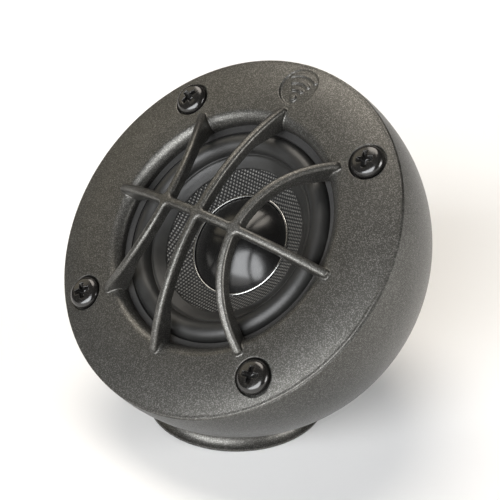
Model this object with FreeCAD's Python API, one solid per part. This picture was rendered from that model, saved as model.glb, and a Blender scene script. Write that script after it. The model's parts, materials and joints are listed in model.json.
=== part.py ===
import FreeCAD, Part
import math
import os
from FreeCAD import Placement, Rotation, Vector

# A surface-mount car speaker pod: a small cone driver behind a domed guard, in a
# spherical pod that swivels on a round screw-down foot.
#
# Row frame: millimetres, +Z up, the foot's underside on z = 0, the foot's axis is Z and
# the pod faces -Y. Everything in the pod is drawn in the pod frame, where +Z is the
# driver's axis pointing out, +Y is up the face and z = 0 is the front face; in_pod()
# then tilts it into place.

# Pod
RING_RADIUS = 45.0
FACE_TILT = 45.0
RING_CENTRE = Vector(0, -5.3, 50.9)
BOWL_RADIUS = 45.9
BOWL_WALL = 2.6
BOWL_RIM_CHAMFER = 0.3
BOWL_SETBACK = math.sqrt(BOWL_RADIUS**2 - RING_RADIUS**2)
SEAM_TOP, SEAM_GAP = -1.3, 0.35
BOSS_RADIUS, BOSS_BACK, BOSS_BORE_BACK, BOSS_WEB = 4.2, -19.0, -17.0, 5.0

# Front ring and its guard
RING_BACK = -3.0
RING_SPIGOT_RADIUS = 42.4
LIP_FACE_RADIUS, LIP_RADIUS, LIP_DEPTH = 31.7, 28.5, 1.6
FACE_EDGE_RADIUS, FACE_CROWN = RING_RADIUS - 0.5, 0.6
GUARD_RISE, GUARD_REACH, RIB_WIDTH, RIB_DEPTH = 11.8, 32.6, 2.1, 3.0
RIB_EDGE, RIB_CORNER, RIB_NOSE, RIB_ROOT, RIB_END_HEIGHT = 0.8, 0.9, 0.85, -2.5, 1.4
CROSSING_REACH, HOLLOW_NECK_RADIUS, HOLLOW_NECK_Z = 15.0, 20.0, 5.0
SEAM_RIB_CENTRE, SEAM_RIB_RADIUS = 42.89, 32.29
BADGE_PITCH_RADIUS, BADGE_RADIUS, BADGE_DEPTH = 39.0, 5.0, 0.7

# Front screws
SCREW_PITCH_RADIUS = 38.6
SCREW_HEAD_RADIUS, SCREW_HEAD_HEIGHT, SCREW_SHANK_RADIUS = 4.0, 3.0, 1.95
SCREW_SEAT, SCREW_LENGTH = -1.25, 13.0
COUNTERBORE_RADIUS = 4.4
SCREW_TURNS = {45: 22, 135: 64, 225: 38, 315: 12}

# Driver, as radii and heights on the pod's z
FLANGE_TOP, FLANGE_BACK, FLANGE_RADIUS = -4.4, -6.0, 32.0
EAR_PITCH_RADIUS, EAR_RADIUS = 33.5, 3.6
EAR_ANGLES = (0, 90, 180, 270)
REAR_BOSS_RADIUS = 2.9
BASKET_MOUTH, BASKET_THROAT, BASKET_WAIST, BASKET_WALL = 24.6, 21.6, 17.6, 1.5
SEAT_LEDGE_INNER, SEAT_LEDGE, SEAT_DEPTH = 13.6, 1.2, 4.0
WINDOW_COUNT, WINDOW_WIDTH, WINDOW_MARGIN = 6, 12.0, 0.8
DRIVER_SCREW_RADIUS, DRIVER_HEAD_RADIUS, DRIVER_HEAD_HEIGHT = 1.15, 2.25, 1.6
GASKET_INNER = 26.9
ROLL_CENTRE_RADIUS, ROLL_RADIUS, ROLL_FOOT = 24.0, 2.5, -3.9
SURROUND_OUTER, SURROUND_INNER, SURROUND_SKIN = 30.0, 18.3, 0.4
CONE_OUTER, CONE_NECK, CONE_NECK_Z, CONE_SLOPE, CONE_SKIN = 21.2, 12.45, -10.1, 0.675, 0.6
CAP_RADIUS, CAP_FOOT, CAP_RISE, CAP_SKIN = 12.5, -9.7, 5.7, 0.4
FORMER_OUTER, FORMER_INNER, FORMER_BACK = 12.4, 12.15, -21.0
COIL_OUTER, COIL_FRONT, COIL_BACK = 12.95, -14.5, -20.5
SHELF_TOP, SHELF_INNER = -12.6, 18.4
MOTOR_FRONT, PLATE_BACK, MAGNET_BACK, CUP_BACK = -16.0, -19.0, -25.0, -28.0
POLE_RADIUS, MAGNET_RADIUS, CUP_INNER, CUP_RADIUS = 11.85, 11.3, 13.25, 16.0

# Terminals, as radii, heights and offsets about the strip's own angle
TERMINAL_ANGLE = 240
STRIP_THICKNESS, STRIP_WIDTH, STRIP_INNER, STRIP_OUTER = 1.2, 12.0, 26.6, 32.6
STRIP_BACK = FLANGE_BACK - STRIP_THICKNESS
TAB_THICKNESS, TAB_OFFSET = 0.6, 3.4
RIVET_PITCH_RADIUS, RIVET_RADIUS = 29.0, 0.8

# Foot and swivel, as radii and heights on the row's z
FOOT_RADIUS, FOOT_RIM_BOTTOM, FOOT_RIM_TOP = 22.4, 0.3, 0.95
PAD_RADIUS, PAD_THICKNESS = 21.7, 0.8
FOOT_NECK_RADIUS, FOOT_TOP, FLARE_MIDDLE = 20.6, 3.6, (21.0, 1.98)
DISC_RADIUS, DISC_TOP = 13.0, 5.2
POD_UNDERSIDE, RECESS_RADIUS, RECESS_TOP, FLOOR_TOP = 3.9, 13.4, 5.7, 8.7
STEM_RADIUS, STEM_BORE, STEM_TOP, STEM_FIT = 5.0, 2.8, 15.6, 0.05
STEM_FLANGE_RADIUS, STEM_FLANGE_TOP = 7.0, 2.0
CABLE_RADIUS, GROMMET_TOP = 1.8, 6.0
FIXING_PITCH_RADIUS, FIXING_RADIUS, FIXING_HEAD_RADIUS = 10.0, 1.5, 2.6
FIXING_ANGLES = (30, 150, 270)
STOP_RADIUS, STOP_BOTTOM, STOP_TOP, STOP_SLOT_TOP, STOP_RANGE = 1.0, 3.2, 7.1, 7.4, 90.0
NUT_ACROSS_FLATS, NUT_BOTTOM, NUT_TOP = 14.0, 10.2, 14.2

FIT = 0.02  # gap between glued or seated faces
Z = Vector(0, 0, 1)


def outline(start, *steps):
    """A closed (r, z) outline. A step is an end point, or (point on an arc, its end)."""
    edges, here = [], start
    for step in steps + (start,):
        if isinstance(step[0], tuple):
            on_arc, end = step
            points = [Vector(r, 0, z) for r, z in (here, on_arc, end)]
            edges.append(Part.Arc(*points).toShape())
        else:
            end = step
            edges.append(Part.makeLine(Vector(here[0], 0, here[1]), Vector(end[0], 0, end[1])))
        here = end
    return Part.Face(Part.Wire(edges))


def turned(start, *steps):
    """A solid of revolution about Z from an (r, z) outline."""
    return outline(start, *steps).revolve(Vector(), Z, 360)


def cylinder(radius, low, high, x=0, y=0):
    return Part.makeCylinder(radius, high - low, Vector(x, y, low), Z)


def tube(outer, inner, low, high):
    return cylinder(outer, low, high).cut(cylinder(inner, low - 1, high + 1))


def box(x_size, y_size, low, high, x=0, y=0):
    """A box centred on (x, y) between two heights."""
    corner = Vector(x - x_size / 2, y - y_size / 2, low)
    return Part.makeBox(x_size, y_size, high - low, corner)


def on_circle(radius, degrees):
    angle = math.radians(degrees)
    return radius * math.cos(angle), radius * math.sin(angle)


def spun(shape, degrees):
    """A copy turned about Z."""
    copy = shape.copy()
    copy.rotate(Vector(), Z, degrees)
    return copy


def in_pod(shape):
    """Moves a shape from the pod frame to the row frame."""
    placed = shape.copy()
    tilt = Placement(RING_CENTRE, Rotation(Vector(1, 0, 0), FACE_TILT))
    placed.Placement = tilt.multiply(placed.Placement)
    return placed


def fuse(shapes):
    return shapes[0].multiFuse(shapes[1:]).removeSplitter()


def bowl_radius(z):
    """The bowl's outer radius at a height on the pod's axis."""
    return math.sqrt(BOWL_RADIUS**2 - (z + BOWL_SETBACK) ** 2)


def cross_recess(size, depth, top):
    """The tapered cross of a Phillips drive, as a cutting tool."""
    wing, tip, mouth = 0.27 * size, 0.18 * size, 0.5 * size
    overrun = 0.5
    slope = (mouth - tip) / depth
    arm = box(2 * size, wing, top - depth, top + overrun)
    blades = arm.fuse(spun(arm, 90))
    low = Vector(0, 0, top - depth)
    return blades.common(Part.makeCone(tip, mouth + slope * overrun, depth + overrun, low))


def pan_screw(head_radius, head_height, shank_radius, length):
    """A pan-head screw with its seat on z = 0 and its head above it."""
    shoulder, point = 0.7 * head_radius, 0.35 * shank_radius
    recess_size, recess_depth = 1.12 * head_radius, 0.7 * head_height
    body = turned(
        (0, -length),
        (point, -length),
        (shank_radius, -length + shank_radius),
        (shank_radius, 0),
        (head_radius, 0),
        (head_radius, 0.35 * head_height),
        ((0.92 * head_radius, 0.72 * head_height), (shoulder, 0.9 * head_height)),
        ((shoulder / 2, 0.975 * head_height), (0, head_height)),
    )
    return body.cut(cross_recess(recess_size, recess_depth, head_height))


# ---------------------------------------------------------------- foot and swivel


def foot_pad():
    pad = tube(PAD_RADIUS, STEM_FLANGE_RADIUS + 0.2, 0, PAD_THICKNESS)
    for angle in FIXING_ANGLES:
        pad = pad.cut(cylinder(FIXING_RADIUS, -1, 1, *on_circle(FIXING_PITCH_RADIUS, angle)))
    return pad


def foot():
    """Flared foot with a seat for its pad, a raised bearing disc, stem and screw holes."""
    body = turned(
        (STEM_RADIUS + FIT, STEM_FLANGE_TOP + FIT),
        (STEM_FLANGE_RADIUS + FIT, STEM_FLANGE_TOP + FIT),
        (STEM_FLANGE_RADIUS + FIT, PAD_THICKNESS),
        (PAD_RADIUS + FIT, PAD_THICKNESS),
        (PAD_RADIUS + FIT, FOOT_RIM_BOTTOM),
        (FOOT_RADIUS - 0.1, FOOT_RIM_BOTTOM),
        (FOOT_RADIUS, FOOT_RIM_BOTTOM + 0.1),
        (FOOT_RADIUS, FOOT_RIM_TOP - 0.1),
        (FOOT_RADIUS - 0.12, FOOT_RIM_TOP),
        (FLARE_MIDDLE, (FOOT_NECK_RADIUS, FOOT_TOP - 0.15)),
        (FOOT_NECK_RADIUS - 0.15, FOOT_TOP),
        (DISC_RADIUS, FOOT_TOP),
        (DISC_RADIUS, DISC_TOP),
        (STEM_RADIUS + FIT, DISC_TOP),
    )
    sink = FIXING_HEAD_RADIUS - FIXING_RADIUS
    for angle in FIXING_ANGLES:
        x, y = on_circle(FIXING_PITCH_RADIUS, angle)
        body = body.cut(cylinder(FIXING_RADIUS, 0, DISC_TOP + 1, x, y))
        low = Vector(x, y, DISC_TOP - sink)
        body = body.cut(Part.makeCone(FIXING_RADIUS, FIXING_HEAD_RADIUS + 0.1, sink + 0.1, low))
    return body.cut(cylinder(STOP_RADIUS + FIT, STOP_BOTTOM, DISC_TOP + 1, 0, FIXING_PITCH_RADIUS))


def swivel_stem():
    """Hollow flanged bolt that the pod turns on and the lead passes through."""
    return turned(
        (STEM_BORE, PAD_THICKNESS),
        (STEM_FLANGE_RADIUS, PAD_THICKNESS),
        (STEM_FLANGE_RADIUS, STEM_FLANGE_TOP),
        (STEM_RADIUS, STEM_FLANGE_TOP),
        (STEM_RADIUS, STEM_TOP - 0.6),
        (STEM_RADIUS - 0.6, STEM_TOP),
        (STEM_BORE, STEM_TOP),
    )


def stop_pin():
    return cylinder(STOP_RADIUS, STOP_BOTTOM + FIT, STOP_TOP, 0, FIXING_PITCH_RADIUS)


def lower_washer():
    return tube(8.2, STEM_RADIUS + FIT, DISC_TOP, RECESS_TOP - FIT)


def upper_washer():
    return tube(8.2, STEM_RADIUS + FIT, FLOOR_TOP + FIT, FLOOR_TOP + 0.5)


def spring_washer():
    """Conical washer that keeps the swivel stiff."""
    low, high, thickness = FLOOR_TOP + 0.5 + FIT, NUT_BOTTOM - FIT, 0.5
    return turned(
        (STEM_RADIUS + 0.15, high - thickness),
        (8.0, low),
        (8.0, low + thickness),
        (STEM_RADIUS + 0.15, high),
    )


def clamp_nut():
    corner = NUT_ACROSS_FLATS / math.sqrt(3)
    points = [Vector(*on_circle(corner, 60 * i), NUT_BOTTOM) for i in range(7)]
    prism = Part.Face(Part.makePolygon(points)).extrude(Vector(0, 0, NUT_TOP - NUT_BOTTOM))
    crown = turned(
        (STEM_RADIUS + FIT, NUT_BOTTOM),
        (corner - 0.9, NUT_BOTTOM),
        (corner + 0.1, NUT_BOTTOM + 0.6),
        (corner + 0.1, NUT_TOP - 0.6),
        (corner - 0.9, NUT_TOP),
        (STEM_RADIUS + FIT, NUT_TOP),
    )
    return prism.common(crown)


def cable_grommet():
    return tube(STEM_BORE - FIT, CABLE_RADIUS, PAD_THICKNESS, GROMMET_TOP)


# ---------------------------------------------------------------- pod


def pod_shell():
    """Spherical bowl with a thick floor, a swivel recess and four screw bosses."""
    centre = in_pod(Part.Vertex(0, 0, -BOWL_SETBACK)).Point
    span = 4 * BOWL_RADIUS
    rim = SEAM_TOP - SEAM_GAP
    in_front = in_pod(box(span, span, rim, span))
    outside = Part.makeSphere(BOWL_RADIUS, centre).cut(in_front)
    edge = bowl_radius(rim)
    bevel = turned(
        (edge - BOWL_RIM_CHAMFER, rim),
        (edge + 1, rim),
        (edge + 1, rim - BOWL_RIM_CHAMFER),
        (edge, rim - BOWL_RIM_CHAMFER),
    )
    outside = outside.cut(in_pod(bevel))
    outside = outside.cut(box(span, span, -span, POD_UNDERSIDE))
    inside = Part.makeSphere(BOWL_RADIUS - BOWL_WALL, centre)
    inside = inside.cut(box(span, span, -span, FLOOR_TOP))
    shell = outside.cut(inside)

    skin = Part.makeSphere(BOWL_RADIUS - BOWL_WALL / 2, Vector(0, 0, -BOWL_SETBACK))
    for angle in SCREW_TURNS:
        x, y = on_circle(SCREW_PITCH_RADIUS, angle)
        post = cylinder(BOSS_RADIUS, BOSS_BACK, RING_BACK, x, y)
        web = box(8, BOSS_WEB, BOSS_BACK, RING_BACK, SCREW_PITCH_RADIUS + 4)
        boss = post.fuse(spun(web, angle)).common(skin)
        hole = cylinder(SCREW_SHANK_RADIUS + 0.05, BOSS_BORE_BACK, 0, x, y)
        shell = shell.fuse(in_pod(boss)).cut(in_pod(hole))

    shell = shell.cut(cylinder(RECESS_RADIUS, 0, RECESS_TOP))
    shell = shell.cut(cylinder(STEM_RADIUS + STEM_FIT, 0, FLOOR_TOP + 1))
    return shell.cut(stop_slot()).removeSplitter()


def stop_slot():
    """Half-circle groove that the stop pin runs in."""
    half, reach = STOP_RADIUS + 0.2, STOP_RANGE + 1.0
    ring = tube(FIXING_PITCH_RADIUS + half, FIXING_PITCH_RADIUS - half, RECESS_TOP - 1, STOP_SLOT_TOP)
    half_ring = ring.common(box(60, 30, 0, 10, 0, 15))
    ends = []
    for angle in (90 - reach, 90 + reach):
        x, y = on_circle(FIXING_PITCH_RADIUS, angle)
        ends.append(cylinder(half, RECESS_TOP - 1, STOP_SLOT_TOP, x, y))
    return half_ring.multiFuse(ends)


def face_z(radius):
    """Height of the ring's crowned face, which is level with z = 0 at its edge."""
    share = (FACE_EDGE_RADIUS - radius) / (FACE_EDGE_RADIUS - LIP_FACE_RADIUS)
    return FACE_CROWN * (1 - (1 - share) ** 2)


def uprights(plan, nearest, farthest):
    """The sharp upright edges of an extruded plan, between two distances from its axis."""
    found = []
    for edge in plan.Edges:
        a, b = edge.Vertexes[0].Point, edge.Vertexes[-1].Point
        upright = abs(a.x - b.x) < 1e-6 and abs(a.y - b.y) < 1e-6 and abs(a.z - b.z) > 1
        if upright and nearest < math.hypot(a.x, a.y) < farthest:
            found.append(edge)
    return found


def guard_ribs():
    """Domed guard of a cross and two bowed ribs, like the seams of a ball."""
    span = 2 * GUARD_REACH + 2
    low, high = RIB_ROOT, GUARD_RISE + 2
    bars = [box(span, RIB_WIDTH, low, high), box(RIB_WIDTH, span, low, high)]
    for side in (-1, 1):
        bow = tube(SEAM_RIB_RADIUS + RIB_WIDTH / 2, SEAM_RIB_RADIUS - RIB_WIDTH / 2, low, high)
        bow.translate(Vector(side * SEAM_RIB_CENTRE, 0, 0))
        bars.append(bow)
    plan = fuse(bars).common(cylinder(GUARD_REACH, low, high)).removeSplitter()
    plan = plan.makeFillet(RIB_CORNER, uprights(plan, 0, CROSSING_REACH))
    plan = plan.makeFillet(RIB_NOSE, uprights(plan, CROSSING_REACH, span))

    drop = GUARD_RISE - RIB_END_HEIGHT
    dome = (GUARD_REACH**2 + drop**2) / (2 * drop)
    dome_centre = Vector(0, 0, GUARD_RISE - dome)
    ribs = plan.common(Part.makeSphere(dome, dome_centre))
    funnel_height = HOLLOW_NECK_Z - RING_BACK
    funnel_foot = Vector(0, 0, RING_BACK)
    funnel = Part.makeCone(LIP_RADIUS + 0.9, HOLLOW_NECK_RADIUS, funnel_height, funnel_foot)
    neck = cylinder(HOLLOW_NECK_RADIUS, HOLLOW_NECK_Z - 0.1, high)
    hollow = Part.makeSphere(dome - RIB_DEPTH, dome_centre).common(fuse([funnel, neck]))
    ribs = ribs.cut(hollow)
    ridge = []
    for edge in ribs.Edges:
        points = [] if edge.Degenerated else edge.discretize(5)
        if points and all(abs((p - dome_centre).Length - dome) < 1e-3 for p in points):
            ridge.append(edge)
    return ribs.makeFillet(RIB_EDGE, ridge)


def badge_recess():
    """Round sunk badge with three raised arcs spreading from a dot."""
    face = face_z(BADGE_PITCH_RADIUS)
    recess = cylinder(BADGE_RADIUS, face - BADGE_DEPTH, face + 1, 0, BADGE_PITCH_RADIUS)
    dot_y = BADGE_PITCH_RADIUS - 3.0
    dot_radius, arc_half_width = 0.8, 0.35
    low, high = face - BADGE_DEPTH - 1, face - 0.2 * BADGE_DEPTH
    half_width, reach = 6.0, 8.0
    corners = [(0, 0), (half_width, reach), (-half_width, reach), (0, 0)]
    outline_wire = Part.makePolygon([Vector(x, y, low - 1) for x, y in corners])
    wedge = Part.Face(outline_wire).extrude(Vector(0, 0, high - low + 2))
    raised = [cylinder(dot_radius, low, high, 0, dot_y)]
    for radius in (2.4, 4.4, 6.4):
        arc = tube(radius + arc_half_width, radius - arc_half_width, low, high).common(wedge)
        arc.translate(Vector(0, dot_y, 0))
        raised.append(arc)
    for shape in raised:
        recess = recess.cut(shape)
    return recess


def front_ring():
    """Front plate with a rolled lip, the guard, screw counterbores and rear bosses."""
    edge = bowl_radius(SEAM_TOP)
    round_start, round_middle = -0.55, (RING_RADIUS - 0.1, -0.17)
    face_middle = (FACE_EDGE_RADIUS + LIP_FACE_RADIUS) / 2
    roll_middle = (LIP_RADIUS + 0.95, -0.06)
    plate = turned(
        (LIP_RADIUS, RING_BACK),
        (RING_SPIGOT_RADIUS, RING_BACK),
        (RING_SPIGOT_RADIUS, SEAM_TOP),
        (edge - 0.1, SEAM_TOP),
        (edge, SEAM_TOP + 0.1),
        (bowl_radius(round_start), round_start),
        (round_middle, (FACE_EDGE_RADIUS, 0)),
        ((face_middle, face_z(face_middle)), (LIP_FACE_RADIUS, FACE_CROWN)),
        (roll_middle, (LIP_RADIUS, -LIP_DEPTH)),
    )
    plate = plate.fuse(guard_ribs())
    for angle in EAR_ANGLES:
        x, y = on_circle(EAR_PITCH_RADIUS, angle)
        plate = plate.fuse(cylinder(REAR_BOSS_RADIUS, FLANGE_TOP, RING_BACK + 0.5, x, y))
        plate = plate.cut(cylinder(DRIVER_SCREW_RADIUS + 0.05, FLANGE_TOP - 1, -1.6, x, y))
    plate = plate.removeSplitter()
    for angle in SCREW_TURNS:
        x, y = on_circle(SCREW_PITCH_RADIUS, angle)
        plate = plate.cut(cylinder(COUNTERBORE_RADIUS, SCREW_SEAT, 5, x, y))
        plate = plate.cut(cylinder(SCREW_SHANK_RADIUS + 0.3, RING_BACK - 1, 1, x, y))
    return plate.cut(badge_recess())


def front_screws():
    screws = []
    for angle, turn in SCREW_TURNS.items():
        screw = pan_screw(SCREW_HEAD_RADIUS, SCREW_HEAD_HEIGHT, SCREW_SHANK_RADIUS, SCREW_LENGTH)
        screw = spun(screw, turn)
        screw.translate(Vector(*on_circle(SCREW_PITCH_RADIUS, angle), SCREW_SEAT))
        screws.append(screw)
    return Part.makeCompound(screws)


# ---------------------------------------------------------------- driver


def driver_gasket():
    return tube(SURROUND_OUTER, GASKET_INNER, ROLL_FOOT, RING_BACK)


def basket():
    """Cast frame: flange with ears, windowed cone, spider shelf and motor seat."""
    seat_inner = CUP_RADIUS + 0.05
    body = turned(
        (BASKET_MOUTH, FLANGE_TOP),
        (FLANGE_RADIUS, FLANGE_TOP),
        (FLANGE_RADIUS, FLANGE_BACK),
        (BASKET_MOUTH + BASKET_WALL, FLANGE_BACK),
        (BASKET_THROAT + BASKET_WALL, SHELF_TOP - SEAT_LEDGE),
        (SHELF_INNER + 1, MOTOR_FRONT),
        (BASKET_WAIST, MOTOR_FRONT - SEAT_DEPTH),
        (seat_inner, MOTOR_FRONT - SEAT_DEPTH),
        (seat_inner, MOTOR_FRONT),
        (SEAT_LEDGE_INNER, MOTOR_FRONT),
        (SEAT_LEDGE_INNER, MOTOR_FRONT + SEAT_LEDGE),
        (SHELF_INNER, MOTOR_FRONT + SEAT_LEDGE),
        (SHELF_INNER, SHELF_TOP),
        (BASKET_THROAT, SHELF_TOP),
        (BASKET_MOUTH, FLANGE_BACK - 0.6),
    )
    for angle in EAR_ANGLES:
        ear = box(8, 2 * EAR_RADIUS, FLANGE_BACK, FLANGE_TOP, EAR_PITCH_RADIUS - 4)
        ear = ear.fuse(cylinder(EAR_RADIUS, FLANGE_BACK, FLANGE_TOP, EAR_PITCH_RADIUS))
        body = body.fuse(spun(ear, angle))
        x, y = on_circle(EAR_PITCH_RADIUS, angle)
        hole = cylinder(DRIVER_SCREW_RADIUS + 0.25, FLANGE_BACK - 1, FLANGE_TOP + 1, x, y)
        body = body.cut(hole)
    low, high = SHELF_TOP + WINDOW_MARGIN, FLANGE_BACK - WINDOW_MARGIN
    window = box(10, WINDOW_WIDTH, low, high, BASKET_MOUTH + 1)
    for i in range(WINDOW_COUNT):
        body = body.cut(spun(window, 360 / WINDOW_COUNT * i))
    return body.cut(rivet_holes()).removeSplitter()


def driver_screws():
    screws = []
    for angle in EAR_ANGLES:
        screw = pan_screw(DRIVER_HEAD_RADIUS, DRIVER_HEAD_HEIGHT, DRIVER_SCREW_RADIUS, 4.0)
        screw.rotate(Vector(), Vector(1, 0, 0), 180)
        screw.translate(Vector(*on_circle(EAR_PITCH_RADIUS, angle), FLANGE_BACK))
        screws.append(screw)
    return Part.makeCompound(screws)


def surround():
    """Rubber half roll with a glued outer flange and a band that laps onto the cone."""
    outer_foot = ROLL_CENTRE_RADIUS + ROLL_RADIUS
    inner_foot = ROLL_CENTRE_RADIUS - ROLL_RADIUS
    inside = ROLL_RADIUS - SURROUND_SKIN
    lap_z = cone_z(SURROUND_INNER)
    return turned(
        (SURROUND_OUTER, FLANGE_TOP),
        (SURROUND_OUTER, ROLL_FOOT),
        (outer_foot, ROLL_FOOT),
        ((ROLL_CENTRE_RADIUS, ROLL_FOOT + ROLL_RADIUS), (inner_foot, ROLL_FOOT)),
        (SURROUND_INNER, lap_z + SURROUND_SKIN),
        (SURROUND_INNER, lap_z),
        (CONE_OUTER + 0.1, cone_z(CONE_OUTER + 0.1)),
        (ROLL_CENTRE_RADIUS - inside, ROLL_FOOT),
        ((ROLL_CENTRE_RADIUS, ROLL_FOOT + inside), (ROLL_CENTRE_RADIUS + inside, ROLL_FOOT)),
        (outer_foot - 0.1, FLANGE_TOP),
    )


def cone_z(radius):
    """Height of the cone's front surface."""
    return CONE_NECK_Z + (radius - CONE_NECK) * CONE_SLOPE


def cone():
    """Woven cone with a short neck that is glued around the former."""
    drop = CONE_SKIN
    return turned(
        (CONE_NECK, CONE_NECK_Z - FIT),
        (CONE_OUTER, cone_z(CONE_OUTER) - FIT),
        (CONE_OUTER, cone_z(CONE_OUTER) - drop),
        (CONE_NECK + 0.5, cone_z(CONE_NECK + 0.5) - drop),
        (CONE_NECK + 0.5, CONE_NECK_Z - 1.4),
        (CONE_NECK, CONE_NECK_Z - 1.4),
    )


def dust_cap():
    """Polished dome with a small rolled rim that seats on the cone's neck."""
    crown = CAP_FOOT + CAP_RISE
    radius = (CAP_RADIUS**2 + CAP_RISE**2) / (2 * CAP_RISE)
    half = math.asin(CAP_RADIUS / radius) / 2
    inner = radius - CAP_SKIN
    inner_foot = CAP_RADIUS - CAP_SKIN
    inner_foot_z = crown - radius + math.sqrt(inner**2 - inner_foot**2)
    dome = turned(
        (0, crown),
        (
            (radius * math.sin(half), crown - radius + radius * math.cos(half)),
            (CAP_RADIUS, CAP_FOOT),
        ),
        (CAP_RADIUS, cone_z(CAP_RADIUS) + FIT),
        (inner_foot, cone_z(CAP_RADIUS) + FIT),
        (inner_foot, inner_foot_z),
        (
            (inner * math.sin(half * 0.95), crown - radius + inner * math.cos(half * 0.95)),
            (0, crown - CAP_SKIN),
        ),
    )
    bead_radius, bead_thickness, bead_lift = CAP_RADIUS + 0.1, 0.42, 0.55
    bead_centre = Vector(0, 0, cone_z(bead_radius) + bead_lift)
    bead = Part.makeTorus(bead_radius, bead_thickness, bead_centre)
    return dome.fuse(bead).removeSplitter()


def coil_former():
    return tube(FORMER_OUTER, FORMER_INNER, FORMER_BACK, CONE_NECK_Z - FIT)


def voice_coil():
    return tube(COIL_OUTER, FORMER_OUTER + FIT, COIL_BACK, COIL_FRONT)


def spider():
    """Corrugated centring disc between the former and the basket's shelf."""
    top, bottom = SHELF_TOP + 0.3, SHELF_TOP
    first, pitch, waves, swing = 12.9, 0.9, 6, 0.35
    out, back = [], []
    for i in range(waves):
        start, side = first + i * pitch, swing if i % 2 == 0 else -swing
        out.append(((start + pitch / 2, top + side), (start + pitch, top)))
        back.insert(0, ((start + pitch / 2, bottom + side), (start, bottom)))
    outer = first + waves * pitch
    return turned(
        (FORMER_OUTER + FIT, bottom),
        (FORMER_OUTER + FIT, top),
        (first, top),
        *out,
        (21.4, top),
        (21.4, bottom),
        (outer, bottom),
        *back,
    )


def steel_cup():
    return turned(
        (0, CUP_BACK),
        (CUP_RADIUS - 0.8, CUP_BACK),
        (CUP_RADIUS, CUP_BACK + 0.8),
        (CUP_RADIUS, MOTOR_FRONT),
        (CUP_INNER, MOTOR_FRONT),
        (CUP_INNER, MAGNET_BACK),
        (0, MAGNET_BACK),
    )


def magnet():
    return cylinder(MAGNET_RADIUS, MAGNET_BACK, PLATE_BACK)


def pole_plate():
    return cylinder(POLE_RADIUS, PLATE_BACK, MOTOR_FRONT)


# ---------------------------------------------------------------- terminals


def rivet_holes():
    """Cutting tool for the strip's rivet and the two tab rivets."""
    holes = [cylinder(RIVET_RADIUS + FIT, FLANGE_BACK - 3, FLANGE_TOP + 1, RIVET_PITCH_RADIUS)]
    for side in (-1, 1):
        low, high = STRIP_BACK - 3, FLANGE_BACK + 0.3
        holes.append(cylinder(RIVET_RADIUS + FIT, low, high, RIVET_PITCH_RADIUS, side * TAB_OFFSET))
    return spun(holes[0].multiFuse(holes[1:]), TERMINAL_ANGLE)


def terminal_strip():
    length = STRIP_OUTER - STRIP_INNER
    strip = box(length, STRIP_WIDTH, STRIP_BACK, FLANGE_BACK, STRIP_INNER + length / 2)
    return spun(strip, TERMINAL_ANGLE).cut(rivet_holes())


def tab(side, width):
    """Spade terminal: a flat foot on the strip and a blade standing off its outer end."""
    low, high = STRIP_BACK - TAB_THICKNESS, STRIP_BACK
    foot_length, foot_middle = 5.2, STRIP_INNER + 3.2
    blade_length, blade_middle = 6.5, STRIP_INNER + 5.5
    flat = box(foot_length, width, low, high, foot_middle, side * TAB_OFFSET)
    blade = box(TAB_THICKNESS, width, low - blade_length, high, blade_middle, side * TAB_OFFSET)
    return spun(flat.fuse(blade).removeSplitter(), TERMINAL_ANGLE).cut(rivet_holes())


def positive_tab():
    return tab(1, 4.8)


def negative_tab():
    return tab(-1, 2.8)


def terminal_rivets():
    """One rivet through the flange for the strip, and one for each tab."""
    head, head_height = 1.3, 0.45
    shapes = [
        cylinder(RIVET_RADIUS, STRIP_BACK, FLANGE_TOP - FIT, RIVET_PITCH_RADIUS).fuse(
            cylinder(head - 0.3, STRIP_BACK - head_height, STRIP_BACK, RIVET_PITCH_RADIUS)
        )
    ]
    low = STRIP_BACK - TAB_THICKNESS
    for side in (-1, 1):
        y = side * TAB_OFFSET
        shank = cylinder(RIVET_RADIUS, low, FLANGE_BACK, RIVET_PITCH_RADIUS, y)
        shapes.append(shank.fuse(cylinder(head, low - head_height, low, RIVET_PITCH_RADIUS, y)))
    return Part.makeCompound([spun(s, TERMINAL_ANGLE) for s in shapes])


def tinsel_leads():
    """Two limp leads from the tabs, through a basket window, to the back of the cone."""
    radius, end_r = 0.35, 16.0
    start = (STRIP_INNER + 0.55, STRIP_BACK - TAB_THICKNESS / 2)
    end = (end_r, cone_z(end_r) - CONE_SKIN - 0.4)
    middle = ((start[0] + end[0]) / 2, -10.3)
    leads = []
    for side in (-1, 1):
        y = side * TAB_OFFSET
        points = [Vector(r, y, z) for r, z in (start, middle, end)]
        path = Part.Wire(Part.Arc(*points).toShape())
        arc = path.Edges[0]
        direction = arc.tangentAt(arc.FirstParameter)
        section = Part.Wire(Part.makeCircle(radius, points[0], direction))
        leads.append(path.makePipeShell([section], True, True))
    return Part.makeCompound([spun(lead, TERMINAL_ANGLE) for lead in leads])


FOOT_PARTS = {
    "foot_pad": foot_pad,
    "foot": foot,
    "swivel_stem": swivel_stem,
    "stop_pin": stop_pin,
    "lower_washer": lower_washer,
    "upper_washer": upper_washer,
    "spring_washer": spring_washer,
    "clamp_nut": clamp_nut,
    "cable_grommet": cable_grommet,
    "pod_shell": pod_shell,
}
POD_FRAME_PARTS = {
    "front_ring": front_ring,
    "front_screws": front_screws,
    "driver_gasket": driver_gasket,
    "basket": basket,
    "driver_screws": driver_screws,
    "surround": surround,
    "spider": spider,
    "cone": cone,
    "dust_cap": dust_cap,
    "coil_former": coil_former,
    "voice_coil": voice_coil,
    "tinsel_leads": tinsel_leads,
    "steel_cup": steel_cup,
    "magnet": magnet,
    "pole_plate": pole_plate,
    "terminal_strip": terminal_strip,
    "positive_tab": positive_tab,
    "negative_tab": negative_tab,
    "terminal_rivets": terminal_rivets,
}

os.makedirs("parts", exist_ok=True)
for name, make in FOOT_PARTS.items():
    make().exportStep(f"parts/{name}.step")
for name, make in POD_FRAME_PARTS.items():
    in_pod(make()).exportStep(f"parts/{name}.step")
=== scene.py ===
import json
import math

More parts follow.
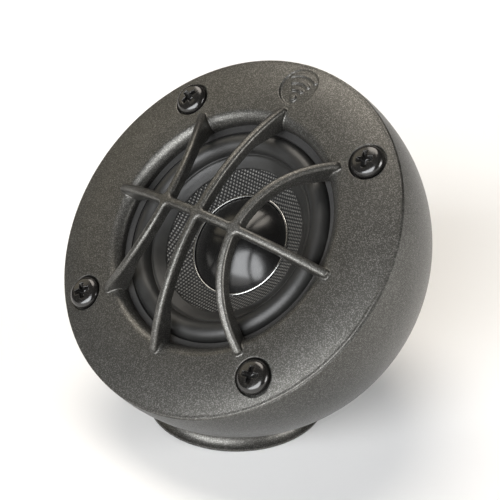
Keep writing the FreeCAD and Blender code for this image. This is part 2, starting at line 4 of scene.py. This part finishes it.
import bpy
import numpy as np
from mathutils import Matrix, Vector


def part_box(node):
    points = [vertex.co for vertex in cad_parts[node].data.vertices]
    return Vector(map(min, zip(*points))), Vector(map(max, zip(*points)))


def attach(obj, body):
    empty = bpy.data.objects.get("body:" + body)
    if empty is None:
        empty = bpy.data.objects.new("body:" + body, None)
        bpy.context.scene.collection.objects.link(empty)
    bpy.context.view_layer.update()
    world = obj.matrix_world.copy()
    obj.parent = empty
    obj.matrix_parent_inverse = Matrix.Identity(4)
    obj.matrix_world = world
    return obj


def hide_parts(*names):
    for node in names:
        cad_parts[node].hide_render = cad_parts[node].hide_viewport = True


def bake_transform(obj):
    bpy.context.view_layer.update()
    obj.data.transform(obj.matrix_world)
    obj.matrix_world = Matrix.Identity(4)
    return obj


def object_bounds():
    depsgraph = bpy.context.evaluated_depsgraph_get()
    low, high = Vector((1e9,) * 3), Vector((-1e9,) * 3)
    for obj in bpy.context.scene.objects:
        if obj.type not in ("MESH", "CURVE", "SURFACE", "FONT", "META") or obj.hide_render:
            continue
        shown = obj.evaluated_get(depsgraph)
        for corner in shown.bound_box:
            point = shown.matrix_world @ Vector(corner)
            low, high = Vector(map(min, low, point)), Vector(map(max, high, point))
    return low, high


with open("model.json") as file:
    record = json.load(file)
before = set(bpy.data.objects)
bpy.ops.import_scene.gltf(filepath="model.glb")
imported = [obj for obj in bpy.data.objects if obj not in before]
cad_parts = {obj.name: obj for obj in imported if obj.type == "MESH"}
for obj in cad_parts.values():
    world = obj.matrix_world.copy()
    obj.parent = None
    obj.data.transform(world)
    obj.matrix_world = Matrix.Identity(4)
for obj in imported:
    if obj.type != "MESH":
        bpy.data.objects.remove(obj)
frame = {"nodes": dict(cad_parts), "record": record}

cad_low, cad_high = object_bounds()
record = frame["record"]
nodes = frame["nodes"]
joints = {joint["name"]: joint for joint in record["behaviour"]["joints"]}
MM = 0.001

# The pod's own axes: OUT along the driver, UP up the face, origin at the face's centre.
OUT = Vector(joints["cone_travel"]["axis"]).normalized()
RIGHT = Vector((1, 0, 0))
UP = OUT.cross(RIGHT)
GASKET_DEPTH = 3.45
gasket_low, gasket_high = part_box("driver_gasket")
FACE_CENTRE = (gasket_low + gasket_high) / 2 + OUT * GASKET_DEPTH * MM
POD = Matrix.Translation(FACE_CENTRE) @ Matrix((RIGHT, UP, OUT)).transposed().to_4x4()

# Driver radii and heights in millimetres, in the pod's axes, as the CAD nodes have them.
CONE_NECK, CONE_NECK_Z, CONE_SLOPE = 12.45, -10.1, 0.675
BAND_INNER, CONE_OUTER = 18.3, 21.2
ROLL_CENTRE, ROLL_RADIUS, ROLL_FOOT = 24.0, 2.5, -3.9
CAP_RADIUS, CAP_FOOT, CAP_RISE = 12.5, -9.7, 5.7
SHELF_TOP = -12.6

# The ring's face in CAD is a shallow crown; the object's is deeper, so the visible ring falls further.
CROWN_START, CROWN_EDGE, CROWN_RISE, CROWN_EXTRA = 31.7, 44.5, 0.6, 1.05
SCREW_SEAT = -1.25

# The surround: its glued flange, its rubber's thickness and the power of its roll, where 1 is a round arc.
FLANGE_WIDTH, FLANGE_THICKNESS, RUBBER, ROLL_POWER = 3.5, 0.48, 0.4, 0.92

# What is laid on another face stands this far off it, in millimetres.
LAID = 0.02

# The weave, from under the cap's rim to under the surround's band, with six mesh cells to a thread.
WEAVE_PITCH, WEAVE_CELLS = 0.76, 6
THREAD_LIFT, THREAD_CROWN, THREAD_FLATTENED = 0.13, 0.13, 0.9
UNDER_RIM, UNDER_BAND = 0.2, 0.25

# The dust cap's bright rim and its wall; the hollow ends a little short of the foot.
RIM_RADIUS, RIM_THICKNESS, RIM_LIFT = CAP_RADIUS + 0.2, 0.32, 0.5
CAP_WALL, HOLLOW_SHARE = 0.4, 0.955

# The spider's folds lie between two flat rims.
SPIDER_FIRST, SPIDER_FOLD, SPIDER_FOLDS, SPIDER_SWING = 12.9, 0.9, 6, 0.33
SPIDER_LAST = SPIDER_FIRST + SPIDER_FOLD * SPIDER_FOLDS
SPIDER_NECK, SPIDER_EDGE, SPIDER_THICKNESS = 12.43, 21.4, 0.3

# The leads: from the tabs, through a low point halfway, to just behind the cone.
TERMINAL_ANGLE = math.radians(240)
LEAD_START, LEAD_END, LEAD_OFFSET = 27.15, 16.0, 3.4
LEAD_TAB_Z, LEAD_LOW_Z, LEAD_BEHIND_CONE = -7.5, -10.3, 1.0
STRANDS, STRAND_RADIUS, TWIST_RADIUS, TWISTS = 3, 0.16, 0.17, 9


# ---------------------------------------------------------------- camera and light

VIEW_AZIMUTH, VIEW_ELEVATION, VIEW_DISTANCE, VIEW_LENS = 41.7, 28.9, 0.330, 98


def direction(azimuth, elevation):
    """Unit vector towards a viewer; azimuth 0 stands in front, on -Y, and 90 on +X."""
    a, e = math.radians(azimuth), math.radians(elevation)
    return Vector((math.sin(a) * math.cos(e), -math.cos(a) * math.cos(e), math.sin(e)))


def aimed(obj, towards, distance, target):
    """Puts a camera or lamp at a distance from the target, looking at it."""
    obj.location = target + towards * distance
    obj.rotation_mode = "QUATERNION"
    obj.rotation_quaternion = (-towards).to_track_quat("-Z", "Y")
    bpy.context.scene.collection.objects.link(obj)


middle = (cad_low + cad_high) / 2
camera_data = bpy.data.cameras.new("camera")
camera_data.lens = VIEW_LENS
camera_data.sensor_width = 36
camera_data.clip_start = 0.01
camera = bpy.data.objects.new("camera", camera_data)
aimed(camera, direction(VIEW_AZIMUTH, VIEW_ELEVATION), VIEW_DISTANCE, middle)
bpy.context.scene.camera = camera
bpy.context.scene.view_settings.view_transform = "Standard"

# A lamp's strength, colour, azimuth, elevation and angular width, the last three in degrees.
for name, energy, colour, azimuth, elevation, width in (
    ("overhead_softbox", 1.9, (1.0, 0.93, 0.84), -110, 69, 40),
    ("front_softbox", 7.2, (0.965, 0.98, 1.0), 13, 13, 60),
    ("side_softbox", 3.0, (1.0, 0.99, 0.97), 110, 8, 36),
    ("left_reflector", 0.28, (1.0, 0.90, 0.70), -75, 35, 36),
):
    data = bpy.data.lights.new(name, "SUN")
    data.energy, data.color, data.angle = energy, colour, math.radians(width)
    aimed(bpy.data.objects.new(name, data), direction(azimuth, elevation), 1.0, middle)

world = bpy.data.worlds.new("studio")
bpy.context.scene.world = world
world.use_nodes = True
fill = world.node_tree.nodes["Background"]
fill.inputs["Color"].default_value = (1.0, 0.95, 0.86, 1)
fill.inputs["Strength"].default_value = 0.035

# Behind the floor's edge a low view sees a pale backdrop, which doesn't light the object.
backdrop = world.node_tree.nodes.new("ShaderNodeBackground")
backdrop.inputs["Color"].default_value = (0.90, 0.90, 0.89, 1)
seen = world.node_tree.nodes.new("ShaderNodeLightPath").outputs["Is Camera Ray"]
either = world.node_tree.nodes.new("ShaderNodeMixShader")
world.node_tree.links.new(seen, either.inputs[0])
world.node_tree.links.new(fill.outputs[0], either.inputs[1])
world.node_tree.links.new(backdrop.outputs[0], either.inputs[2])
world.node_tree.links.new(either.outputs[0], world.node_tree.nodes["World Output"].inputs["Surface"])


# ---------------------------------------------------------------- materials


class Shader:
    """A Principled material in object space, with short calls for the nodes it uses."""

    # A noise stays mostly between these two values.
    NOISE_LOW, NOISE_HIGH = 0.3, 0.7

    # A Mix node names its colour sockets like its number sockets, so they are taken by index.
    MIX_FIRST, MIX_SECOND, MIX_RESULT = 6, 7, 2

    def __init__(self, name, **constants):
        self.material = bpy.data.materials.new(name)
        self.material.use_nodes = True
        self.tree = self.material.node_tree
        self.surface = self.tree.nodes["Principled BSDF"]
        for key, value in constants.items():
            self.surface.inputs[key.replace("_", " ")].default_value = value
        self.coords = self.tree.nodes.new("ShaderNodeTexCoord").outputs["Object"]

    def node(self, kind, sockets=(), **settings):
        made = self.tree.nodes.new("ShaderNode" + kind)
        for key, value in settings.items():
            setattr(made, key, value)
        for key, value in dict(sockets).items():
            if isinstance(value, bpy.types.NodeSocket):
                self.tree.links.new(value, made.inputs[key])
            else:
                made.inputs[key].default_value = value
        return made

    def on_face(self):
        """Coordinates in the pod's own axes, with z along the driver."""
        place = {"Vector": self.coords, "Location": POD.translation, "Rotation": POD.to_euler()}
        return self.node("Mapping", place, vector_type="TEXTURE").outputs[0]

    def face_radius(self):
        """Distance from the driver's axis, in millimetres."""
        flat = self.node("VectorMath", {0: self.on_face(), 1: (1, 1, 0)}, operation="MULTIPLY")
        length = self.node("VectorMath", {0: flat.outputs[0]}, operation="LENGTH").outputs["Value"]
        return self.math("DIVIDE", length, MM)

    def crowns(self, pitch):
        """1 on each thread crown of a plain weave in the face's plane, 0 in the gaps."""
        split = self.node("SeparateXYZ", {"Vector": self.on_face()})
        waves = []
        for axis in ("X", "Y"):
            turns = self.math("MULTIPLY", split.outputs[axis], math.pi / (pitch * MM))
            waves.append(self.node("Math", {0: turns}, operation="COSINE").outputs[0])
        both = self.math("MULTIPLY", *waves)
        return self.node("Math", {0: both}, operation="ABSOLUTE").outputs[0]

    def noise(self, size, detail=2.0, stretch=(1, 1, 1)):
        """Noise whose grains are about size millimetres across."""
        space = self.node("Mapping", {"Vector": self.coords, "Scale": stretch})
        grains = {"Vector": space.outputs[0], "Scale": 1 / (size * MM), "Detail": detail}
        return self.node("TexNoise", grains).outputs["Fac"]

    def cells(self, size):
        """Random value from 0 to 1 for each cell about size millimetres across."""
        made = self.node("TexVoronoi", {"Vector": self.coords, "Scale": 1 / (size * MM)})
        split = self.node("SeparateColor", {"Color": made.outputs["Color"]})
        return split.outputs["Red"]

    def remap(self, value, low, high, to_low, to_high):
        made = self.node(
            "MapRange",
            {"Value": value, "From Min": low, "From Max": high, "To Min": to_low, "To Max": to_high},
        )
        return made.outputs["Result"]

    def spread(self, noise, to_low, to_high):
        """Stretches a noise's usual values over a range."""
        return self.remap(noise, self.NOISE_LOW, self.NOISE_HIGH, to_low, to_high)

    def math(self, operation, a, b):
        return self.node("Math", {0: a, 1: b}, operation=operation).outputs[0]

    def blend(self, share, first, second):
        made = self.node("Mix", data_type="RGBA")
        self.tree.links.new(share, made.inputs["Factor"])
        for index, value in ((self.MIX_FIRST, first), (self.MIX_SECOND, second)):
            socket = made.inputs[index]
            if isinstance(value, bpy.types.NodeSocket):
                self.tree.links.new(value, socket)
            else:
                socket.default_value = (*value, 1)
        return made.outputs[self.MIX_RESULT]

    def base(self, socket):
        self.tree.links.new(socket, self.surface.inputs["Base Color"])

    def roughness(self, socket):
        self.tree.links.new(socket, self.surface.inputs["Roughness"])

    def metallic(self, socket):
        self.tree.links.new(socket, self.surface.inputs["Metallic"])

    def bump(self, *layers):
        """Each layer is (height socket, depth in millimetres)."""
        normal = None
        for height, depth in layers:
            made = self.node("Bump", {"Height": height, "Strength": 1.0, "Distance": depth * MM})
            if normal:
                self.tree.links.new(normal, made.inputs["Normal"])
            normal = made.outputs["Normal"]
        self.tree.links.new(normal, self.surface.inputs["Normal"])


def graphite_coat():
    """Warm grey powder coat with fine metal flakes."""
    s = Shader("graphite_coat", Metallic=0.8)
    flakes = s.remap(s.cells(0.16), 0.6, 1.0, 0.0, 1.0)
    mottle = s.spread(s.noise(9, 3), 0.0, 1.0)
    grain = s.noise(0.35, 2)
    ground = s.blend(mottle, (0.056, 0.0544, 0.0498), (0.0656, 0.0638, 0.0585))
    s.base(s.blend(flakes, ground, (0.170, 0.167, 0.157)))
    s.roughness(s.spread(grain, 0.32, 0.42))
    s.bump((grain, 0.018), (s.cells(0.16), 0.008))
    return s.material


def pad_rubber():
    s = Shader("pad_rubber")
    s.base(s.blend(s.noise(1.5, 4), (0.014, 0.014, 0.015), (0.03, 0.03, 0.03)))
    s.roughness(s.spread(s.noise(0.6), 0.7, 0.9))
    s.bump((s.noise(0.35, 3), 0.03))
    return s.material


def metal(name, dark, bright, rough, grain=0.25):
    """Plated or machined metal with fine directional grain and faint handling marks."""
    s = Shader(name, Metallic=1.0)
    lines = s.noise(grain, 2, (1, 1, 6))
    s.base(s.blend(s.noise(2.5, 4), dark, bright))
    s.roughness(s.remap(s.math("ADD", lines, s.noise(1.8, 4)), 0.7, 1.3, rough - 0.08, rough + 0.1))
    s.bump((lines, 0.004))
    return s.material


def nylon():
    s = Shader("nylon", Subsurface_Weight=0.2)
    s.surface.inputs["Subsurface Radius"].default_value = (0.001, 0.0009, 0.0007)
    s.base(s.blend(s.noise(2.0, 3), (0.70, 0.68, 0.62), (0.80, 0.79, 0.74)))
    s.roughness(s.spread(s.noise(0.8, 3), 0.35, 0.55))
    s.bump((s.noise(0.3, 2), 0.006))
    return s.material


def black_steel():
    """Glossy black finish on the screws, thinner and browner where a driver bit has rubbed."""
    s = Shader("black_steel", Specular_IOR_Level=0.5, Coat_Weight=0.35, Coat_Roughness=0.10)
    s.base(s.blend(s.noise(0.7, 4), (0.004, 0.004, 0.004), (0.012, 0.011, 0.010)))
    s.roughness(s.spread(s.noise(0.5, 3), 0.16, 0.26))
    s.bump((s.noise(0.45, 3), 0.012))
    return s.material


def gasket_foam():
    s = Shader("gasket_foam")
    s.base(s.blend(s.noise(0.3, 3), (0.010, 0.010, 0.010), (0.026, 0.025, 0.024)))
    s.roughness(s.spread(s.noise(0.4), 0.75, 0.95))
    s.bump((s.noise(0.28, 3), 0.05))
    return s.material


def basket_metal():
    s = Shader("basket_metal", Metallic=0.3)
    s.base(s.blend(s.noise(1.2, 4), (0.035, 0.035, 0.036), (0.06, 0.06, 0.06)))
    s.roughness(s.spread(s.noise(0.5, 3), 0.42, 0.6))
    s.bump((s.noise(0.4, 3), 0.02))
    return s.material


def surround_rubber():
    """Soft-sheen butyl rubber with a fine moulded skin and a little bloom."""
    s = Shader("surround_rubber", Specular_IOR_Level=0.45)
    bloom = s.remap(s.noise(5, 4), 0.45, 0.75, 0.0, 1.0)
    s.base(s.blend(bloom, (0.012, 0.012, 0.0115), (0.020, 0.020, 0.019)))
    s.roughness(s.spread(s.noise(0.5, 3), 0.38, 0.48))
    s.bump((s.noise(0.25, 2), 0.006), (s.noise(2.2, 2), 0.02))
    return s.material


def spider_cloth():
    """Resin-dipped cotton, amber with darker threads."""
    s = Shader("spider_cloth")
    weave = s.math("MULTIPLY", s.noise(0.35, 1, (1, 6, 1)), s.noise(0.35, 1, (6, 1, 1)))
    s.base(s.blend(s.remap(weave, 0.1, 0.4, 0, 1), (0.36, 0.20, 0.05), (0.62, 0.40, 0.14)))
    s.roughness(s.remap(weave, 0.1, 0.4, 0.85, 0.6))
    s.bump((weave, 0.05))
    return s.material


def woven_cone():
    """Black coated cloth with painted light: the thread crowns are painted lighter as highlights and are
    smoother, the gaps are painted near black as shade and are dull.
    """
    s = Shader("woven_cone", Specular_IOR_Level=0.5)
    thread = s.noise(0.12, 2)
    crowns = s.crowns(WEAVE_PITCH)
    painted_highlight_mask = s.remap(crowns, 0.45, 0.95, 0.0, 1.0)
    bright = s.math("MULTIPLY", painted_highlight_mask, s.spread(s.noise(1.4, 2), 0.6, 1.0))
    # Base colour: painted highlights on the thread crowns, painted shade in the gaps between them.
    s.base(s.blend(bright, (0.003, 0.003, 0.003), (0.17, 0.167, 0.155)))
    s.roughness(s.remap(crowns, 0.3, 0.9, 0.75, 0.26))
    s.bump((thread, 0.010), (crowns, 0.08))
    return s.material


def cap_gloss():
    """Glossy black dome with a faint orange peel and a bright polished rim."""
    s = Shader("cap_gloss", Specular_IOR_Level=0.5)
    rim = s.remap(s.face_radius(), CAP_RADIUS - 0.1, CAP_RADIUS + 0.1, 0.0, 1.0)
    black = s.blend(s.noise(3.0, 3), (0.004, 0.004, 0.004), (0.007, 0.0069, 0.0067))
    s.base(s.blend(rim, black, (0.42, 0.42, 0.41)))
    s.metallic(rim)
    s.roughness(s.spread(s.noise(1.2, 4), 0.18, 0.24))
    s.bump((s.noise(1.6, 3), 0.006))
    return s.material


def coil_wire():
    """Enamelled copper wire, its turns shown as fine ridges."""
    s = Shader("coil_wire", Metallic=0.9, Coat_Weight=0.5)
    s.base(s.blend(s.noise(0.8, 3), (0.50, 0.20, 0.09), (0.72, 0.34, 0.16)))
    s.roughness(s.spread(s.noise(0.4, 2), 0.22, 0.38))
    s.bump((s.noise(0.2, 2, (1, 4, 4)), 0.02))
    return s.material


def strip_board():
    """Brown resin-bonded paper board with visible fibres."""
    s = Shader("strip_board")
    fibre = s.noise(0.5, 4, (5, 1, 1))
    s.base(s.blend(fibre, (0.045, 0.022, 0.010), (0.12, 0.065, 0.030)))
    s.roughness(s.spread(fibre, 0.5, 0.75))
    s.bump((fibre, 0.02))
    return s.material


MATERIALS = {
    "graphite_coat": graphite_coat(),
    "pad_rubber": pad_rubber(),
    "plated_steel": metal("plated_steel", (0.50, 0.50, 0.48), (0.66, 0.66, 0.65), rough=0.30),
    "nylon": nylon(),
    "black_steel": black_steel(),
    "gasket_foam": gasket_foam(),
    "basket_metal": basket_metal(),
    "surround_rubber": surround_rubber(),
    "spider_cloth": spider_cloth(),
    "woven_cone": woven_cone(),
    "cap_gloss": cap_gloss(),
    "former_sheet": metal("former_sheet", (0.60, 0.50, 0.34), (0.78, 0.68, 0.50), rough=0.35),
    "coil_wire": coil_wire(),
    "motor_steel": metal("motor_steel", (0.26, 0.26, 0.27), (0.42, 0.42, 0.43), rough=0.40, grain=0.4),
    "magnet_plated": metal("magnet_plated", (0.46, 0.45, 0.43), (0.60, 0.59, 0.57), rough=0.18, grain=0.6),
    "strip_board": strip_board(),
    "tab_brass": metal("tab_brass", (0.56, 0.40, 0.16), (0.78, 0.62, 0.32), rough=0.28),
}
NODE_SLOTS = {sub["node"]: sub["material_slot"] for sub in record["subparts"]}


def paint(obj, material):
    """Gives an object one material; a mesh that has slots already is left as it is."""
    if not obj.material_slots:
        obj.data.materials.append(material)
    for each in obj.material_slots:
        each.link = "OBJECT"
        each.material = material


for name, node in nodes.items():
    paint(node, MATERIALS[NODE_SLOTS[name]])


# ---------------------------------------------------------------- mesh tools


def add_mesh(name, points, faces, sharp):
    """A smooth-shaded mesh from points in the pod's millimetres; edges sharper than the angle stay crisp."""
    mesh = bpy.data.meshes.new(name)
    mesh.from_pydata([POD @ (Vector(p) * MM) for p in points], [], faces)
    mesh.validate()
    mesh.shade_smooth()
    mesh.set_sharp_from_angle(angle=math.radians(sharp))
    obj = bpy.data.objects.new(name, mesh)
    bpy.context.scene.collection.objects.link(obj)
    return obj


def stands_for(obj, body, *replaced):
    """Finishes a piece: it takes its nodes' slot, rides a body if one is given, and hides the nodes."""
    slot = NODE_SLOTS[replaced[0]]
    paint(obj, MATERIALS[slot])
    if body:
        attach(obj, body)
    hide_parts(*replaced)


def near(r, z, *steps):
    """Points of an outline at steps (dr, dz) from a place."""
    return [(r + dr, z + dz) for dr, dz in steps]


def arc(centre_r, centre_z, radius, first, last, steps, power=1.0):
    """Points of an outline on an arc between two angles in radians; a power below 1 makes it fuller."""
    points = []
    for k in range(steps + 1):
        angle = first + (last - first) * k / steps
        lift = radius * math.sin(angle) ** power
        points.append((centre_r + radius * math.cos(angle), centre_z + lift))
    return points


def lathe(name, outline, segments, sharp):
    """Turns a closed (r, z) outline round the driver's axis."""
    points, rings = [], []
    for r, z in outline:
        on_axis = r < 1e-6
        if on_axis:
            rings.append([len(points)] * segments)
            points.append((0, 0, z))
            continue
        rings.append(range(len(points), len(points) + segments))
        for k in range(segments):
            angle = 2 * math.pi * k / segments
            points.append((r * math.cos(angle), r * math.sin(angle), z))
    faces = []
    for i, ring in enumerate(rings):
        following = rings[(i + 1) % len(rings)]
        if ring[0] == ring[1] and following[0] == following[1]:
            continue
        for k in range(segments):
            j = (k + 1) % segments
            corners = [ring[k], ring[j], following[j], following[k]]
            faces.append([c for n, c in enumerate(corners) if c not in corners[:n]])
    return add_mesh(name, points, faces, sharp)


def softened(name, node, voxel, passes, most_triangles, reshape=None):
    """A copy of a CAD node in the pod, remeshed so that its edges and inner corners are soft."""
    to_pod = Matrix.Scale(1 / MM, 4) @ POD.inverted()
    work = bpy.data.objects.new(name, nodes[node].data.copy())
    work.data.transform(to_pod)
    bpy.context.scene.collection.objects.link(work)
    remesh = work.modifiers.new("remesh", "REMESH")
    remesh.mode, remesh.voxel_size = "VOXEL", voxel
    smooth = work.modifiers.new("smooth", "SMOOTH")
    smooth.factor, smooth.iterations = 0.5, passes
    graph = bpy.context.evaluated_depsgraph_get()
    triangles = len(work.evaluated_get(graph).data.polygons) * 2
    thin = work.modifiers.new("thin", "DECIMATE")
    thin.ratio = min(1.0, most_triangles / triangles)
    thin.use_collapse_triangulate = True
    graph = bpy.context.evaluated_depsgraph_get()
    mesh = bpy.data.meshes.new_from_object(work.evaluated_get(graph))
    bpy.data.objects.remove(work)
    mesh.materials.clear()
    if reshape:
        flat = np.empty(len(mesh.vertices) * 3, np.float32)
        mesh.vertices.foreach_get("co", flat)
        mesh.vertices.foreach_set("co", reshape(flat.reshape(-1, 3)).ravel())
    mesh.transform(to_pod.inverted())
    mesh.shade_smooth()
    obj = bpy.data.objects.new(name, mesh)
    bpy.context.scene.collection.objects.link(obj)
    normals = obj.modifiers.new("normals", "WEIGHTED_NORMAL")
    normals.mode, normals.weight = "FACE_AREA_WITH_ANGLE", 50
    return obj


# ---------------------------------------------------------------- ring and screws


def crowned(points):
    """Lowers the ring's face towards its edge, and keeps its lip and the seats of its screws."""
    radii = np.hypot(points[:, 0], points[:, 1])
    outward = np.clip((radii - CROWN_START) / (CROWN_EDGE - CROWN_START), 0, 1)
    face = CROWN_RISE * (1 - outward**2)
    lowered = (face - CROWN_EXTRA * outward**2 - SCREW_SEAT) / (face - SCREW_SEAT)
    above = points[:, 2] > SCREW_SEAT
    points[above, 2] = SCREW_SEAT + (points[above, 2] - SCREW_SEAT) * lowered[above]
    return points


ring = softened("ring_coated", "front_ring", voxel=0.18, passes=2, most_triangles=160000, reshape=crowned)
stands_for(ring, "pod", "front_ring")
screws = softened("screws_black", "front_screws", voxel=0.09, passes=1, most_triangles=90000)
stands_for(screws, "pod", "front_screws")


# ---------------------------------------------------------------- driver


def cone_z(radius):
    """Height of the cone's front surface."""
    return CONE_NECK_Z + (radius - CONE_NECK) * CONE_SLOPE


def flexes(obj):
    """Bakes the piece's placement into its mesh."""
    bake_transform(obj)


def roll_outline():
    """Half roll with a groove on each side, a glued flange and a band that laps on the cone."""
    outer, inner = ROLL_CENTRE + ROLL_RADIUS, ROLL_CENTRE - ROLL_RADIUS
    flange = near(outer, ROLL_FOOT, (FLANGE_WIDTH, 0), (0.45, 0), (0.25, -0.12))
    roll = arc(ROLL_CENTRE, ROLL_FOOT, ROLL_RADIUS, 0, math.pi, 32, ROLL_POWER)
    groove = near(inner, ROLL_FOOT, (-0.08, -0.13), (-0.25, -0.18), (-0.4, -0.13))
    band = near(inner, ROLL_FOOT, (-0.6, -0.12), (-0.9, -0.24), (-1.9, -0.8))
    tip = near(BAND_INNER, cone_z(BAND_INNER), (0.3, 0.56), (0.1, 0.42), (0.02, 0.2), (0.02, LAID))
    lap = [(CONE_OUTER, cone_z(CONE_OUTER) + LAID / 2)]
    hollow = arc(ROLL_CENTRE, ROLL_FOOT, ROLL_RADIUS - RUBBER, math.pi, 0, 24)
    back = near(outer, ROLL_FOOT - FLANGE_THICKNESS, (-0.1, 0), (FLANGE_WIDTH, 0))
    return flange + roll + groove + band + tip + lap + hollow + back


surround = lathe("surround_roll", roll_outline(), segments=224, sharp=75)
stands_for(surround, None, "surround")
flexes(surround)


def weave():
    """Plain weave of flattened threads, laid on the cone's front between the cap and the surround."""
    step = WEAVE_PITCH / WEAVE_CELLS
    inner, outer = CONE_NECK + UNDER_RIM, BAND_INNER + UNDER_BAND
    reach = int(outer / step) + 2
    index, points, faces = {}, [], []

    def threads(across, along):
        """Height of one set of threads, which waves over and under the other set."""
        turn = round(across / WEAVE_PITCH)
        offset = (across / WEAVE_PITCH - turn) * 2
        wave = math.cos(math.pi * (along / WEAVE_PITCH + turn))
        return THREAD_LIFT * wave + THREAD_CROWN * math.sqrt(max(0.0, 1 - offset * offset)) - THREAD_CROWN

    def corner(i, j):
        """Index of a grid corner's point; corners past either edge are drawn in to it."""
        if (i, j) not in index:
            x, y = i * step, j * step
            r = math.hypot(x, y)
            snapped = min(max(r, inner), outer)
            x, y = x * snapped / r, y * snapped / r
            height = max(threads(x, y), threads(y, x + WEAVE_PITCH))
            index[i, j] = len(points)
            points.append((x, y, cone_z(snapped) + LAID + THREAD_FLATTENED * height))
        return index[i, j]

    for i in range(-reach, reach):
        for j in range(-reach, reach):
            if inner < math.hypot((i + 0.5) * step, (j + 0.5) * step) < outer:
                faces.append([corner(i, j), corner(i + 1, j), corner(i + 1, j + 1), corner(i, j + 1)])
    return add_mesh("cone_weave", points, faces, sharp=180)


cloth = weave()
paint(cloth, MATERIALS["woven_cone"])
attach(cloth, "diaphragm")


def cap_outline():
    """Dome with a hollow back and a rounded bright rim that stands on the cone."""
    radius = (CAP_RADIUS**2 + CAP_RISE**2) / (2 * CAP_RISE)
    centre = CAP_FOOT + CAP_RISE - radius
    half, straight_up = math.asin(CAP_RADIUS / radius), math.pi / 2
    dome = arc(0, centre, radius, straight_up, straight_up - half, 40)
    rim = arc(RIM_RADIUS, cone_z(RIM_RADIUS) + RIM_LIFT, RIM_THICKNESS, math.radians(190), 0, 12)
    edge = RIM_RADIUS + RIM_THICKNESS
    foot = [(edge, cone_z(edge) + LAID), (CAP_RADIUS - CAP_WALL, cone_z(CAP_RADIUS) + LAID)]
    hollow = arc(0, centre, radius - CAP_WALL, straight_up - half * HOLLOW_SHARE, straight_up, 24)
    return dome + rim + foot + hollow


cap = lathe("dome_cap", cap_outline(), segments=192, sharp=60)
stands_for(cap, "diaphragm", "dust_cap")


def spider_outline():
    """Cloth disc whose folds are half waves, up and down by turns."""

    def height(r):
        folded = SPIDER_FIRST < r < SPIDER_LAST
        return SPIDER_SWING * math.sin(math.pi * (r - SPIDER_FIRST) / SPIDER_FOLD) if folded else 0.0

    folds = np.linspace(SPIDER_FIRST, SPIDER_LAST, SPIDER_FOLDS * 10 + 1)
    radii = [SPIDER_NECK, *folds, SPIDER_EDGE]
    top = [(r, SHELF_TOP + SPIDER_THICKNESS + height(r)) for r in radii]
    bottom = [(r, SHELF_TOP + height(r)) for r in reversed(radii)]
    return top + bottom


spider = lathe("spider_corrugated", spider_outline(), segments=128, sharp=60)
stands_for(spider, None, "spider")
flexes(spider)


def lead_z(t):
    """Height of a lead at a share of its way from the tab to the cone, along a parabola."""
    from_tab = LEAD_TAB_Z * (1 - t) * (1 - 2 * t)
    from_low = LEAD_LOW_Z * 4 * t * (1 - t)
    from_end = (cone_z(LEAD_END) - LEAD_BEHIND_CONE) * t * (2 * t - 1)
    return from_tab + from_low + from_end


def leads():
    """Two leads of three twisted strands, from the tabs to the back of the cone."""
    rings, sides = 72, 8
    across, along = math.cos(TERMINAL_ANGLE), math.sin(TERMINAL_ANGLE)
    points, faces, shares = [], [], []
    for middle_y in (-LEAD_OFFSET, LEAD_OFFSET):
        for strand in range(STRANDS):
            base = len(points)
            for k in range(rings + 1):
                t = k / rings
                x = LEAD_START + (LEAD_END - LEAD_START) * t
                phase = 2 * math.pi * (TWISTS * t + strand / STRANDS)
                for n in range(sides):
                    around = 2 * math.pi * n / sides
                    y = middle_y + TWIST_RADIUS * math.cos(phase) + STRAND_RADIUS * math.cos(around)
                    z = lead_z(t) + TWIST_RADIUS * math.sin(phase) + STRAND_RADIUS * math.sin(around)
                    points.append((x * across - y * along, x * along + y * across, z))
                    shares.append(t * t * (3 - 2 * t))
            for k in range(rings):
                for n in range(sides):
                    a, b = base + k * sides + n, base + k * sides + (n + 1) % sides
                    faces.append([a, b, b + sides, a + sides])
            last = base + rings * sides
            faces += [list(range(base, base + sides)), list(range(last, last + sides))]
    return points, faces, shares


lead_points, lead_faces, lead_shares = leads()
tinsel = add_mesh("tinsel_strands", lead_points, lead_faces, sharp=70)
stands_for(tinsel, None, "tinsel_leads")
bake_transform(tinsel)


# ---------------------------------------------------------------- floor


def floor():
    """A matt pale floor, twelve metres across, which is no part of the object."""
    bpy.ops.mesh.primitive_grid_add(x_subdivisions=40, y_subdivisions=40, size=12, location=(0, 0, 0))
    obj = bpy.context.object
    obj.name = "studio_floor"
    s = Shader("pale_floor")
    s.base(s.blend(s.noise(60, 4), (0.88, 0.88, 0.88), (0.91, 0.91, 0.91)))
    s.roughness(s.spread(s.noise(20, 3), 0.6, 0.75))
    s.bump((s.noise(2.0, 3), 0.02))
    paint(obj, s.material)


floor()
